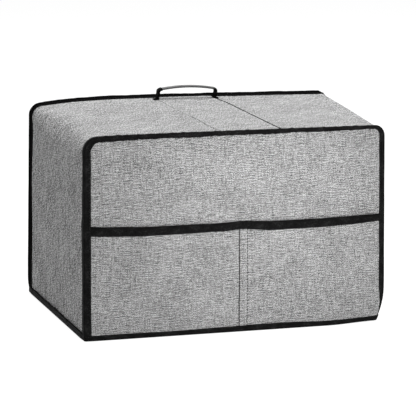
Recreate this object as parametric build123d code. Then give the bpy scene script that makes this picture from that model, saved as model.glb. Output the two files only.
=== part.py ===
"""Soft box-shaped enclosure for a desktop printer: padded cloth walls bound with tape, open at the
bottom, with two flat front pockets and a strap handle on top. Millimetres, +Z up, front towards -Y.
The origin is on the floor, under the middle of the whole box."""

import os

from build123d import *

# The whole cover, over its binding and pocket tapes
overall_width = 471.0
overall_depth = 342.0
cover_height = 304.0
top_corner_radius = 24.0

# Wall layers, from the outside in
cloth_thickness = 0.8
padding_thickness = 3.0
lining_thickness = 0.4

# Binding tape: thickness as sewn, and its width on each face that it covers
tape_thickness = 1.5
edge_tape_on_panel = 6.5
edge_tape_on_band = 10.0
hem_tape_on_panel = 7.0
hem_tape_on_band = 10.0

# Front pockets
mouth_height = 168.0
mouth_tape_width = 12.0
mouth_tape_thickness = 0.8
pocket_cloth_thickness = 1.0
pocket_seam_centre = 12.5
pocket_seam_width = 12.5
seam_cloth_thickness = 1.0
moving_gap = 0.4

# Strip on the top, which runs front to back and carries the handle
strip_width = 96.0
strip_centre = 17.0
strip_skew = 22.0

# Strap handle
handle_from_rear = 27.0
handle_height = 15.0
handle_arch_rise = 5.0
strap_width = 10.0
strap_thickness = 1.6
strap_return = 6.0
strap_corner_radius = 1.2
foot_length = 8.0
foot_overhang = 1.0
foot_thickness = 1.2

# Derived places
wall = cloth_thickness + padding_thickness + lining_thickness
pocket_stack = moving_gap + 2 * mouth_tape_thickness + pocket_cloth_thickness
half_width = overall_width / 2 - tape_thickness
front = -overall_depth / 2 + max(pocket_stack, tape_thickness)
rear = overall_depth / 2 - tape_thickness
floor_gap = tape_thickness
hem_reach = wall + tape_thickness
layer_steps = {
    "cover": (0, cloth_thickness),
    "padding": (cloth_thickness, cloth_thickness + padding_thickness),
    "lining": (cloth_thickness + padding_thickness, wall),
}
cut_margin = 1.0


def block(x_range, y_range, z_range):
    """A box between pairs of limits."""
    sizes = [high - low for low, high in (x_range, y_range, z_range)]
    middle = [(low + high) / 2 for low, high in (x_range, y_range, z_range)]
    return Pos(*middle) * Box(*sizes)


def arch(inset, y_range, bottom):
    """A block of the cover's front outline, with its two top corners rounded, inset on three sides."""
    side = half_width - inset
    body = block((-side, side), y_range, (bottom, cover_height - inset))
    corners = body.edges().filter_by(Axis.Y).group_by(Axis.Z)[-1]
    return fillet(corners, top_corner_radius - inset)


# Padded walls


def panel_layer(outer_face, inwards, steps):
    """One layer of the front or rear panel, which fills the whole outline."""
    near, far = (outer_face + inwards * step for step in steps)
    return arch(0, (min(near, far), max(near, far)), floor_gap)


def band_layer(steps):
    """One layer of the band that makes the left side, the top and the right side in one length."""
    outer_inset, inner_inset = steps
    y_range = (front + wall, rear - wall)
    cut_range = (y_range[0] - cut_margin, y_range[1] + cut_margin)
    return arch(outer_inset, y_range, floor_gap) - arch(inner_inset, cut_range, floor_gap - cut_margin)


# Binding tapes


def edge_binding(outer_face, inwards):
    """Tape folded over a panel's edge, up one side, across the top and down the other side."""
    def towards_inside(distance):
        return outer_face + inwards * distance

    def span(start, end):
        return tuple(sorted((towards_inside(start), towards_inside(end))))

    tape = arch(-tape_thickness, span(-tape_thickness, edge_tape_on_band), 0)
    tape -= arch(0, span(0, edge_tape_on_band + cut_margin), -cut_margin)
    tape -= arch(edge_tape_on_panel, span(-tape_thickness - cut_margin, cut_margin), -cut_margin)
    beyond = (-overall_width, overall_width)
    tape -= block(beyond, span(-tape_thickness - cut_margin, hem_reach), (-cut_margin, hem_tape_on_panel))
    tape -= block(beyond, span(hem_reach, edge_tape_on_band + cut_margin), (-cut_margin, hem_tape_on_band))
    return tape


def hem_ring(height):
    """Tape folded round the bottom edge of all four walls, to one height."""
    side, inside = half_width + tape_thickness, half_width - wall - tape_thickness
    ring = block((-side, side), (front - tape_thickness, rear + tape_thickness), (0, height))
    ring -= block((-inside, inside), (front + hem_reach, rear - hem_reach), (-cut_margin, height + cut_margin))
    walls = block((-half_width, half_width), (front, rear), (floor_gap, height + cut_margin))
    inner = half_width - wall
    walls -= block((-inner, inner), (front + wall, rear - wall), (0, height + 2 * cut_margin))
    return ring - walls


def hem_binding(side):
    """One of the four lengths of the hem tape."""
    beyond = (-overall_width, overall_width)
    tall = (-cut_margin, cover_height)
    if side == "front":
        return hem_ring(hem_tape_on_panel) & block(beyond, (-overall_depth, front + hem_reach), tall)
    if side == "rear":
        return hem_ring(hem_tape_on_panel) & block(beyond, (rear - hem_reach, overall_depth), tall)
    x_range = (-overall_width, 0) if side == "left" else (0, overall_width)
    return hem_ring(hem_tape_on_band) & block(x_range, (front + hem_reach, rear - hem_reach), tall)


# Pockets: a panel hinged at the hem on each side of a sewn-down seam

seam_range = (
    pocket_seam_centre - pocket_seam_width / 2,
    pocket_seam_centre + pocket_seam_width / 2,
)
pocket_reach = half_width - edge_tape_on_panel - moving_gap
pocket_ranges = {
    "left": (-pocket_reach, seam_range[0] - moving_gap),
    "right": (seam_range[1] + moving_gap, pocket_reach),
}
pocket_back = front - moving_gap - mouth_tape_thickness
pocket_face = pocket_back - pocket_cloth_thickness
pocket_foot = hem_tape_on_panel + moving_gap


def pocket_panel(side):
    """The pocket's cloth, from the hem up into the fold of its mouth tape."""
    top = mouth_height - mouth_tape_thickness
    return block(pocket_ranges[side], (pocket_face, pocket_back), (pocket_foot, top))


def mouth_binding(side):
    """Tape folded over the pocket's top edge."""
    y_range = (pocket_face - mouth_tape_thickness, pocket_back + mouth_tape_thickness)
    tape = block(pocket_ranges[side], y_range, (mouth_height - mouth_tape_width, mouth_height))
    return tape - pocket_panel(side)


def pocket_centre_seam():
    """Pocket cloth sewn down to the front panel between the two pockets."""
    z_range = (hem_tape_on_panel, mouth_height - mouth_tape_width)
    return block(seam_range, (front - seam_cloth_thickness, front), z_range)


def mouth_binding_centre():
    """The mouth tape where the centre seam sews it down flat."""
    depth = seam_cloth_thickness + 2 * mouth_tape_thickness
    return block(seam_range, (front - depth, front), (mouth_height - mouth_tape_width, mouth_height))


# Handle

handle_y = rear - handle_from_rear
strip_top = cover_height + cloth_thickness
foot_top = strip_top + foot_thickness
fold_axis_z = foot_top + moving_gap + strap_width / 2
handle_z = cover_height + handle_height


def strip_middle(y):
    """The strip is sewn slightly askew, so its middle moves across as it runs back."""
    return strip_centre - strip_skew * y / (rear - front)


handle_middle = strip_middle(handle_y)
leg_offset = strip_width / 2
strap_y = (handle_y - strap_width / 2, handle_y + strap_width / 2)


def handle_base_strip():
    """A flat strip of the same cloth on the top, between the two edge tapes."""
    ends = (front + edge_tape_on_band, rear - edge_tape_on_band)
    near, far = ((strip_middle(y) - strip_width / 2, strip_middle(y) + strip_width / 2) for y in ends)
    corners = [(near[0], ends[0]), (near[1], ends[0]), (far[1], ends[1]), (far[0], ends[1])]
    outline = make_face(Polyline(*corners, close=True))
    return extrude(Pos(0, 0, cover_height) * outline, cloth_thickness)


def handle_foot(direction):
    """The end of the strap, sewn flat over the edge of the strip."""
    leg_x = handle_middle + direction * leg_offset
    x_range = (leg_x - foot_length / 2, leg_x + foot_length / 2)
    y_range = (strap_y[0] - foot_overhang, strap_y[1] + foot_overhang)
    return block(x_range, y_range, (cover_height, foot_top)) - handle_base_strip()


def handle_loop(direction):
    """The strap's leg: it turns at its foot on a rounded end and bends over towards the grip."""
    leg_x = handle_middle + direction * leg_offset
    half = strap_thickness / 2
    leg = block((leg_x - half, leg_x + half), strap_y, (fold_axis_z, handle_z + half))
    heel = Pos(leg_x, handle_y, fold_axis_z) * Rot(0, 90, 0) * Cylinder(strap_width / 2, strap_thickness)
    inner_x = leg_x - direction * (half + strap_return)
    across = block(tuple(sorted((inner_x, leg_x))), strap_y, (handle_z - half, handle_z + half))
    loop = leg + heel + across
    outer_x = leg_x + direction * half
    corner = [
        edge
        for edge in loop.edges().filter_by(Axis.Y)
        if abs(edge.center().X - outer_x) < half and abs(edge.center().Z - handle_z - half) < half
    ]
    return fillet(corner, strap_corner_radius)


def handle_grip():
    """The arched strap between the two loops."""
    reach = leg_offset - strap_thickness / 2 - strap_return
    low, high = handle_z - strap_thickness / 2, handle_z + strap_thickness / 2
    under = ThreePointArc((-reach, low), (0, low + handle_arch_rise), (reach, low))
    over = ThreePointArc((reach, high), (0, high + handle_arch_rise), (-reach, high))
    ends = [Line((reach, low), (reach, high)), Line((-reach, high), (-reach, low))]
    outline = make_face([under, over, *ends])
    profile = Plane.XZ * outline
    return Pos(handle_middle, strap_y[1], 0) * extrude(profile, strap_width)


def all_parts():
    """Every node by name."""
    parts = {}
    for layer, steps in layer_steps.items():
        parts["front_panel_" + layer] = panel_layer(front, 1, steps)
        parts["rear_panel_" + layer] = panel_layer(rear, -1, steps)
        parts["wrap_band_" + layer] = band_layer(steps)
    parts["front_edge_binding"] = edge_binding(front, 1)
    parts["rear_edge_binding"] = edge_binding(rear, -1)
    for side in ("front", "rear", "left", "right"):
        parts["hem_binding_" + side] = hem_binding(side)
    for side in pocket_ranges:
        parts["pocket_panel_" + side] = pocket_panel(side)
        parts["pocket_mouth_binding_" + side] = mouth_binding(side)
    parts["pocket_centre_seam"] = pocket_centre_seam()
    parts["pocket_mouth_binding_centre"] = mouth_binding_centre()
    parts["handle_base_strip"] = handle_base_strip()
    for side, direction in (("left", -1), ("right", 1)):
        parts["handle_foot_" + side] = handle_foot(direction)
        parts["handle_loop_" + side] = handle_loop(direction)
    parts["handle_grip"] = handle_grip()
    return parts


os.makedirs("parts", exist_ok=True)
for node, shape in all_parts().items():
    export_step(shape, "parts/" + node + ".step")

print("pocket hinges: y", pocket_face / 2 + pocket_back / 2, "z", pocket_foot)
print("handle hinge: y", handle_y, "z", fold_axis_z, "middle x", handle_middle)
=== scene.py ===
import math

import bpy
import numpy as np
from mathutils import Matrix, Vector


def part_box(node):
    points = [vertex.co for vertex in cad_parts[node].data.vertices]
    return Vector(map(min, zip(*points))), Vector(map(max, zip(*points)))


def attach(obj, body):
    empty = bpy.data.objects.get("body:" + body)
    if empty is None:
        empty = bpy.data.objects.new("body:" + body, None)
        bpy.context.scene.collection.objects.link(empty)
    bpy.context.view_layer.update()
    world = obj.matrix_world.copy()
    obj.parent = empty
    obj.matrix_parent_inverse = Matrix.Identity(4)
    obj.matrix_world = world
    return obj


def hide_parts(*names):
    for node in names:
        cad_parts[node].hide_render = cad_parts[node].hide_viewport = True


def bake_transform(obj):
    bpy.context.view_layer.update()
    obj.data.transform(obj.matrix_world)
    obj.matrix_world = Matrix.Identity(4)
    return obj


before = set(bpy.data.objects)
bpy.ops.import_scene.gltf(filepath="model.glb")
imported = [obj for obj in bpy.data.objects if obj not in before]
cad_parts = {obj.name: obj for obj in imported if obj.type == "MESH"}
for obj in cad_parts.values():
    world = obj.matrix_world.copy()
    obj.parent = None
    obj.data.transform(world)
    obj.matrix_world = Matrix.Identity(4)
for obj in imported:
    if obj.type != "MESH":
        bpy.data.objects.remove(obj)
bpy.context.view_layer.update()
mm = 0.001

# Places that every piece shares, read from the frame
panelLow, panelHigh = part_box("front_panel_cover")
liningLow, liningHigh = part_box("front_panel_lining")
rearLow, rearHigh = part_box("rear_panel_cover")
halfWidth = panelHigh.x
topZ = panelHigh.z
wallFoot = panelLow.z
frontY = panelLow.y
rearY = rearHigh.y
clothDepth = panelHigh.y - panelLow.y
liningDepth = liningLow.y - panelLow.y
wallDepth = liningHigh.y - panelLow.y
seamLow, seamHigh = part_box("pocket_centre_seam")
mouthLow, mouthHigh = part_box("pocket_mouth_binding_left")
print("frame loaded: half width", round(halfWidth, 4), "top", round(topZ, 4))

# How the soft cover has settled: the radii of the top corners, front and rear, and how its walls have moved
settled = {
    "leftRadius": (22 * mm, 12 * mm),
    "rightRadius": (14 * mm, 2.5 * mm),
    "middleRadius": (20 * mm, -4 * mm),  # how much rounder the left and right corners are halfway back
    "leftCrease": (3.2 * mm, 7 * mm, 0.62),  # height, half width and place of the soft fold on that corner
    "shoulder": (2.2 * mm, 13 * mm),  # how far the top slopes down to its left edge, front and rear
    "shoulderReach": 58 * mm,
    "frontCrease": (0.8 * mm, 2.6 * mm, 8.5 * mm),  # depth, half width and x of the crease over the seam
    "creaseSpan": (0.23, 0.06),  # middle height and half length of that crease
    "cornerShift": {  # left or right, front or rear, foot or top: moves in mm
        (0, 0, 0): (3.4, -3, 0),
        (0, 0, 1): (5.4, -1, 2.6),
        (0, 1, 0): (-3.2, 5, 0),
        (0, 1, 1): (1.0, 2, 4.6),
        (1, 0, 0): (-1.4, 2, 0),
        (1, 0, 1): (-3, 2, -3),
        (1, 1, 0): (4, -3, 0),
        (1, 1, 1): (3.4, -6, -5.4),
    },
    "tuck": (-7.5 * mm, 8 * mm, 1.0 * mm),  # the front right foot is pushed in
    "tuckHeight": 50 * mm,
    "tuckReach": 90 * mm,
    "footPinch": 0.8 * mm,  # the hem draws the feet of all four corners in
    "pinchReach": 22 * mm,
    "pinchHeight": 30 * mm,
    "bulges": [  # soft swellings of the front: x, z, half width, half height, and how far out in mm
        (0.11, 0.225, 0.10, 0.05, 3.2),
        (-0.10, 0.21, 0.11, 0.06, 2.2),
        (-0.09, 0.10, 0.09, 0.06, 2.4),
        (0.10, 0.10, 0.08, 0.06, 2.6),
        (0.225, 0.09, 0.035, 0.07, -2.6),
        (0.16, 0.165, 0.07, 0.02, -1.4),
    ],
    "bulgeFade": 25 * mm,  # the swellings die out towards the panel's edges
}


# A soft step from 0 to 1
def smooth(x):
    x = np.clip(x, 0, 1)
    return x * x * (3 - 2 * x)


# Numbers and arrays spread to one shared shape
def matched(*values):
    return np.broadcast_arrays(*(np.asarray(value, float) for value in values))


# Distance run along a line of points
def runLength(points):
    steps = np.linalg.norm(np.diff(points, axis=0), axis=-1)
    return np.concatenate([[0], np.cumsum(steps)])


rippleWaves = ((0.5, 1.0, 1.0), (0.3, 1.7, 2.1), (0.2, 3.1, 0.7))  # share, rate, and how the seed shifts it


# Smooth wandering between about -1 and 1 along a length
def ripple(x, seed, wave):
    turn = 2 * math.pi * np.asarray(x) / wave
    return sum(share * np.sin(rate * turn + phase * seed) for share, rate, phase in rippleWaves)


# Moves points from the neat box to where the soft cover has settled
def relax(points):
    p = np.array(points, float)
    x, y, z = p[..., 0], p[..., 1], p[..., 2]
    across = np.clip((x + halfWidth) / (2 * halfWidth), -0.05, 1.05)
    back = np.clip((y - frontY) / (rearY - frontY), -0.05, 1.05)
    up = np.clip(z / topZ, 0, 1.1)
    shift = np.zeros_like(p)
    for (i, j, k), move in settled["cornerShift"].items():
        share = (across if i else 1 - across) * (back if j else 1 - back) * (up if k else 1 - up)
        shift += share[..., None] * np.array(move) * mm
    low = np.clip(1 - z / settled["tuckHeight"], 0, 1) ** 2
    nearRight = smooth(1 - (halfWidth - x) / settled["tuckReach"])
    nearFront = smooth(1 - (y - frontY) / settled["tuckReach"])
    shift += (low * nearRight * nearFront)[..., None] * np.array(settled["tuck"])
    slope = settled["shoulder"][0] + (settled["shoulder"][1] - settled["shoulder"][0]) * back
    shift[..., 2] -= slope * smooth(up) * np.exp(-np.maximum(0, x + halfWidth) / settled["shoulderReach"])
    footShare = smooth(1 - z / settled["pinchHeight"])
    sideShare = smooth(1 - (halfWidth - np.abs(x)) / settled["pinchReach"])
    endShare = smooth(1 - np.minimum(y - frontY, rearY - y) / settled["pinchReach"])
    pinch = footShare * sideShare * endShare * settled["footPinch"]
    shift[..., 0] -= pinch * np.sign(x)
    shift[..., 1] -= pinch * np.sign(y)
    return p + shift


# The band is left side, corner, top, corner, right side: along runs from 0 to 5 over those five stretches


# Radii of the left and right top corners at a depth
def radii(depth):
    share = (np.asarray(depth) - frontY) / (rearY - frontY)
    halfway = np.sin(math.pi * np.clip(share, 0, 1))
    both = zip((settled["leftRadius"], settled["rightRadius"]), settled["middleRadius"])
    return [front + (rear - front) * share + more * halfway for (front, rear), more in both]


# A point of the band's neat surface, its outward direction and the length of cloth up to it
def bandPoint(along, depth, out=0.0):
    along, depth, out = matched(along, depth, out)
    left, right = radii(depth)
    stretch = np.clip(np.floor(along), 0, 4)
    f = along - stretch
    x, z, nx, nz, length = (np.zeros(along.shape) for _ in range(5))
    sideLeft, sideRight = topZ - left - wallFoot, topZ - right - wallFoot
    topRun = 2 * halfWidth - left - right
    turn = f * math.pi / 2

    def put(number, px, pz, dx, dz, run):
        here = stretch == number
        for target, value in ((x, px), (z, pz), (nx, dx), (nz, dz), (length, run)):
            target[here] = np.broadcast_to(value, along.shape)[here]

    cornerLeft, cornerRight = left * math.pi / 2, right * math.pi / 2
    toTop = sideLeft + cornerLeft
    toCorner = toTop + topRun
    toSide = toCorner + cornerRight
    put(0, -halfWidth, wallFoot + f * sideLeft, -1, 0, f * sideLeft)
    put(1, -halfWidth + left * (1 - np.cos(turn)), topZ - left * (1 - np.sin(turn)),
        -np.cos(turn), np.sin(turn), sideLeft + f * cornerLeft)
    put(2, -halfWidth + left + f * topRun, topZ, 0, 1, toTop + f * topRun)
    put(3, halfWidth - right * (1 - np.sin(turn)), topZ - right * (1 - np.cos(turn)),
        np.sin(turn), np.cos(turn), toCorner + f * cornerRight)
    put(4, halfWidth, topZ - right - f * sideRight, 1, 0, toSide + f * sideRight)
    height, width, middle = settled["leftCrease"]
    share = np.clip((depth - frontY) / (rearY - frontY), 0, 1)
    fromFold = (length - sideLeft - cornerLeft * middle) / width
    fold = np.exp(-(fromFold**2)) * height * np.sin(math.pi * share) ** 0.7
    place = np.stack([x + nx * (out + fold), depth, z + nz * (out + fold)], -1)
    return place, np.stack([nx, nz], -1), length


# Values of along, with so many steps on each stretch
def stretches(side, corner, top):
    steps = [side, corner, top, corner, side]
    return np.concatenate([number + np.arange(n) / n for number, n in enumerate(steps)] + [[5 - 1e-9]])


# Neat x and z of a grid that fills a panel's outline at the front or rear
def panelGrid(columns, rows, depth):
    left, right = (float(r) for r in radii(depth))
    bend = max(left, right)
    straight = wallFoot + (topZ - bend - wallFoot) * np.arange(rows) / rows
    turns = np.linspace(0, math.pi / 2, 9)
    z = np.concatenate([straight, topZ - bend + bend * np.sin(turns)])
    low = -halfWidth + left - np.sqrt(np.maximum(0, left**2 - np.maximum(0, z - topZ + left) ** 2))
    high = halfWidth - right + np.sqrt(np.maximum(0, right**2 - np.maximum(0, z - topZ + right) ** 2))
    share = np.linspace(0, 1, columns + 1)
    x = low[None, :] + (high - low)[None, :] * share[:, None]
    return x, np.broadcast_to(z, x.shape)


# Cloth simulation: a coarse grid of each wall settles between its sewn edges, and finer pieces follow it


# A regular field of small moves over a wall, looked up by two coordinates
class WallCloth:
    def __init__(self, first, second, moves):
        self.first, self.second, self.moves = first, second, moves

    def at(self, u, v):
        u, v = matched(u, v)
        i = np.interp(u, self.first, np.arange(len(self.first)))
        j = np.interp(v, self.second, np.arange(len(self.second)))
        i0 = np.minimum(i.astype(int), len(self.first) - 2)
        j0 = np.minimum(j.astype(int), len(self.second) - 2)
        a, b = (i - i0)[..., None], (j - j0)[..., None]
        m = self.moves
        return (m[i0, j0] * (1 - a) * (1 - b) + m[i0 + 1, j0] * a * (1 - b)
                + m[i0, j0 + 1] * (1 - a) * b + m[i0 + 1, j0 + 1] * a * b)


clothRun = {"frames": 22, "tension": 12.0, "bending": 6.0, "mass": 0.25, "drag": 4.0, "quality": 6}


# Drops a grid of cloth between its pinned points and returns how far each point moved, at most cap
def simulate(name, points, pinned, slack, cap):
    columns, rows = points.shape[:2]
    index = np.arange(columns * rows).reshape(columns, rows)
    quads = np.stack([index[:-1, :-1], index[1:, :-1], index[1:, 1:], index[:-1, 1:]], -1).reshape(-1, 4)
    mesh = bpy.data.meshes.new(name)
    mesh.from_pydata(points.reshape(-1, 3).tolist(), [], quads.tolist())
    sheet = bpy.data.objects.new(name, mesh)
    bpy.context.scene.collection.objects.link(sheet)
    group = sheet.vertex_groups.new(name="sewn")
    group.add([int(i) for i in index[pinned]], 1.0, "REPLACE")
    modifier = sheet.modifiers.new("Cloth", "CLOTH")
    cloth = modifier.settings
    cloth.vertex_group_mass = "sewn"
    cloth.quality = clothRun["quality"]
    cloth.mass = clothRun["mass"]
    cloth.tension_stiffness = cloth.compression_stiffness = clothRun["tension"]
    cloth.shear_stiffness = clothRun["tension"] / 2
    cloth.bending_stiffness = clothRun["bending"]
    cloth.shrink_min = -slack
    cloth.air_damping = clothRun["drag"]
    modifier.point_cache.frame_start = 1
    modifier.point_cache.frame_end = clothRun["frames"]
    for step in range(1, clothRun["frames"] + 1):
        bpy.context.scene.frame_set(step)
    ended = sheet.evaluated_get(bpy.context.evaluated_depsgraph_get())
    place = np.zeros(columns * rows * 3, np.float32)
    ended.data.vertices.foreach_get("co", place)
    bpy.data.objects.remove(sheet)
    bpy.data.meshes.remove(mesh)
    bpy.context.scene.frame_set(1)
    moves = place.reshape(columns, rows, 3).astype(float) - points
    far = np.linalg.norm(moves, axis=-1, keepdims=True)
    print("cloth", name, "moved up to", round(float(far.max()) / mm, 1), "mm")
    return moves * (cap / (cap + far))


# Which points of a grid lie on its border
def border(columns, rows):
    edge = np.zeros((columns, rows), bool)
    edge[0], edge[-1], edge[:, 0], edge[:, -1] = True, True, True, True
    return edge


def settlePanel(name, depth):
    x, z = panelGrid(38, 22, depth)
    points = relax(np.stack([x, np.full(x.shape, depth), z], -1))
    moves = simulate(name, points, border(*x.shape), 0.0006, 2.6 * mm)
    return WallCloth(np.linspace(0, 1, x.shape[0]), z[0], moves)


def settleBand():
    along = stretches(22, 3, 38)
    depth = np.linspace(frontY, rearY, 29)
    place, _, _ = bandPoint(along[:, None], depth[None, :])
    moves = simulate("bandCloth", relax(place), border(len(along), len(depth)), 0.0004, 2.2 * mm)
    return WallCloth(along, depth, moves)


frontCloth = settlePanel("frontCloth", frontY)
rearCloth = settlePanel("rearCloth", rearY)
bandCloth = settleBand()


# A settled point of the band, and the length of cloth up to it
def onBand(along, depth, out=0.0):
    place, _, length = bandPoint(along, depth, out)
    return relax(place) + bandCloth.at(along, depth), length


# A point over the flat of the top
def onTop(x, y, out=0.0):
    left, right = radii(y)
    along = 2 + np.clip((x + halfWidth - left) / (2 * halfWidth - left - right), 0, 1 - 1e-9)
    return onBand(along, y, out)[0]


# A point on the front or rear panel, out from it by so much
def onPanel(x, z, depth, out=0.0):
    facing = -1 if depth < 0 else 1
    cloth = frontCloth if depth < 0 else rearCloth
    x, z, out = matched(x, z, out)
    if facing < 0:
        height, width, place = settled["frontCrease"]
        middle, reach = settled["creaseSpan"]
        out = out - height * np.exp(-(((x - place) / width) ** 2)) * smooth(1.4 - np.abs(z - middle) / reach)
        fade = settled["bulgeFade"]
        inside = smooth((halfWidth - np.abs(x)) / fade) * smooth(z / fade) * smooth((topZ - z) / fade)
        for middleX, middleZ, wide, tall, height in settled["bulges"]:
            spread = ((x - middleX) / wide) ** 2 + ((z - middleZ) / tall) ** 2
            out = out + height * mm * np.exp(-spread) * inside
    neat = np.stack([x, depth + facing * out, z], -1)
    return relax(neat) + cloth.at((x + halfWidth) / (2 * halfWidth), z)


# Mesh building


# A mesh object whose faces point outwards, with its own UV map in metres of cloth
def makePiece(name, verts, faces, uvs, material):
    verts = np.asarray(verts, float)
    quads = verts[np.array([face for face in faces if len(face) == 4])]
    spread = np.cross(quads[:, 2] - quads[:, 0], quads[:, 3] - quads[:, 1])
    if np.einsum("ij,ij->", quads.mean(1) - verts.mean(0), spread) < 0:
        faces = [face[::-1] for face in faces]
    mesh = bpy.data.meshes.new(name)
    mesh.from_pydata(verts.tolist(), [], faces)
    layer = mesh.uv_layers.new(name="clothLength")
    corners = np.zeros(len(mesh.loops), np.int32)
    mesh.loops.foreach_get("vertex_index", corners)
    layer.data.foreach_set("uv", np.asarray(uvs, np.float32)[corners].ravel())
    mesh.materials.append(material)
    mesh.polygons.foreach_set("use_smooth", np.ones(len(mesh.polygons), bool))
    mesh.set_sharp_from_angle(angle=math.radians(50))
    mesh.update()
    piece = bpy.data.objects.new(name, mesh)
    bpy.context.scene.collection.objects.link(piece)
    return piece


# The four-sided faces between neighbours in a grid of point numbers
def gridFaces(index, backwards=False):
    quads = np.stack([index[:-1, :-1], index[1:, :-1], index[1:, 1:], index[:-1, 1:]], -1).reshape(-1, 4)
    return (quads[:, ::-1] if backwards else quads).tolist()


# A closed layer between two grids of points
def slab(name, outer, inner, uv, material):
    columns, rows = outer.shape[:2]
    count = columns * rows
    index = np.arange(count).reshape(columns, rows)
    faces = gridFaces(index) + gridFaces(index + count, True)
    for line in (index[:, 0][::-1], index[-1, :][::-1], index[:, -1], index[0, :]):
        faces += [[int(a), int(b), int(b + count), int(a + count)] for a, b in zip(line[:-1], line[1:])]
    verts = np.concatenate([outer.reshape(-1, 3), inner.reshape(-1, 3)])
    uvs = np.concatenate([uv.reshape(-1, 2)] * 2)
    return makePiece(name, verts, faces, uvs, material)


# A tube of closed rings, capped unless its path is a loop
def sweep(name, rings, alongLength, acrossLength, material, slotName, loop=False):
    stations, around = rings.shape[:2]
    index = np.arange(stations * around).reshape(stations, around)
    wrapped = np.concatenate([index, index[:, :1]], 1)
    if loop:
        wrapped = np.concatenate([wrapped, wrapped[:1]], 0)
    faces = gridFaces(wrapped)
    if not loop:
        faces += [index[0].tolist(), index[-1][::-1].tolist()]
    uvs = np.stack(matched(np.asarray(alongLength)[:, None], np.asarray(acrossLength)[None, :]), -1)
    return makePiece(name, rings.reshape(-1, 3), faces, uvs.reshape(-1, 2), material)


# Materials


# Adds a node to a tree; an input is joined to another node's socket or given a value
def addNode(tree, kind, inputs=(), **settings):
    node = tree.nodes.new(kind)
    for key, value in settings.items():
        setattr(node, key, value)
    for key, value in dict(inputs).items():
        if isinstance(value, bpy.types.NodeSocket):
            tree.links.new(value, node.inputs[key])
        else:
            node.inputs[key].default_value = value
    return node


# A Principled material with short ways to add and join its nodes; its patterns follow the cloth or the object
class Surface:
    def __init__(self, name, onCloth=True):
        self.material = bpy.data.materials.new(name)
        self.material.use_nodes = True
        self.tree = self.material.node_tree
        self.shader = self.tree.nodes["Principled BSDF"]
        if onCloth:
            self.place = self.add("ShaderNodeUVMap", uv_map="clothLength").outputs[0]
        else:
            self.place = self.add("ShaderNodeTexCoord").outputs["Object"]

    def add(self, kind, inputs=(), **settings):
        return addNode(self.tree, kind, inputs, **settings)

    def maths(self, operation, *values):
        return self.add("ShaderNodeMath", dict(enumerate(values)), operation=operation).outputs[0]

    # Lengths divided by a feature size across and along, so that one unit is one feature
    def scaled(self, size, turn=0.0, upward=0.0):
        scale = (1 / size[0], 1 / size[1], 1)
        inputs = {"Vector": self.place, "Rotation": (0, 0, turn), "Scale": scale,
                  "Location": (0, upward / size[1], 0)}
        return self.add("ShaderNodeMapping", inputs).outputs[0]

    def noise(self, size, detail=2.0, roughness=0.5, shift=0.0, upward=0.0):
        place = self.scaled(size, 0.0, upward)
        inputs = {"Vector": place, "W": shift, "Scale": 1.0, "Detail": detail, "Roughness": roughness}
        return self.add("ShaderNodeTexNoise", inputs, noise_dimensions="4D").outputs[0]

    def range(self, value, low, high, to=(0.0, 1.0)):
        inputs = {"Value": value, "From Min": low, "From Max": high, "To Min": to[0], "To Max": to[1]}
        return self.add("ShaderNodeMapRange", inputs, clamp=True).outputs[0]

    def ramp(self, value, stops):
        node = self.add("ShaderNodeValToRGB", {"Fac": value})
        while len(node.color_ramp.elements) < len(stops):
            node.color_ramp.elements.new(0.5)
        for element, (place, tone) in zip(node.color_ramp.elements, stops):
            element.position = place
            element.color = (tone, tone, tone, 1)
        return node.outputs[0]

    # Height of a plain weave: threads pass over and under each other every pitch
    def weave(self, pitch, turn=0.0):
        split = self.add("ShaderNodeSeparateXYZ", {"Vector": self.scaled((pitch, pitch), turn)})
        waves = [self.maths("SINE", self.maths("MULTIPLY", split.outputs[i], math.pi)) for i in (0, 1)]
        return self.maths("MULTIPLY_ADD", self.maths("MULTIPLY", *waves), 0.5, 0.5)

    def bump(self, height, distance, strength):
        node = self.add("ShaderNodeBump", {"Height": height, "Distance": distance, "Strength": strength})
        self.tree.links.new(node.outputs[0], self.shader.inputs["Normal"])

    def colour(self, output):
        self.tree.links.new(output, self.shader.inputs["Base Color"])

    def feel(self, roughness, specular, sheen=0.0, sheenRoughness=0.5):
        values = {"Roughness": roughness, "Specular IOR Level": specular, "Sheen Weight": sheen,
                  "Sheen Roughness": sheenRoughness}
        for key, value in values.items():
            self.shader.inputs[key].default_value = value


linen = {
    "alternate": 1.7 * mm,  # how far apart a pale and a dark thread lie
    "thread": 0.8 * mm,
    "blotch": (60 * mm, 45 * mm),
    "blotchShare": 0.04,
    "archMiddle": 0.52,  # cloth length from a side's foot to the middle of the top
    "shoulder": (0.21, 0.27),  # cloth lengths from that middle between which the band turns down
    "relief": (0.3 * mm, 0.4),  # height of the threads and how strongly they show
}
# Each kind of slub: size across and up the cloth, share of the pattern, and whether pale and dark alternate
panelSlubs = {
    "kinds": (
        (16 * mm, 0.9 * mm, 0.22, True),
        (2.0 * mm, 0.8 * mm, 0.14, True),
        (0.8 * mm, 8 * mm, 0.18, False),
        (1.0 * mm, 0.9 * mm, 0.42, True),
    ),
    "contrast": (0.43, 0.57),
    # the panels' tones are the band's times about 0.93: painted shade on the front and rear panels, the
    # pockets and the centre seam
    "tones": ((0.0, 0.028), (0.30, 0.13), (0.52, 0.26), (0.76, 0.41), (1.0, 0.60)),
    "hanging": 0.0,
}
bandSlubs = {
    "kinds": (
        (5.8 * mm, 1.4 * mm, 0.44, False),
        (2.3 * mm, 5 * mm, 0.14, False),
        (2.2 * mm, 20 * mm, 0.16, False),
        (1.7 * mm, 1.1 * mm, 0.22, False),
    ),
    "contrast": (0.395, 0.605),
    "tones": ((0.0, 0.03), (0.30, 0.14), (0.52, 0.28), (0.76, 0.44), (1.0, 0.64)),
    "hanging": 0.5,  # how much stronger the pattern is where the cloth hangs down than over the top
}


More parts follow.
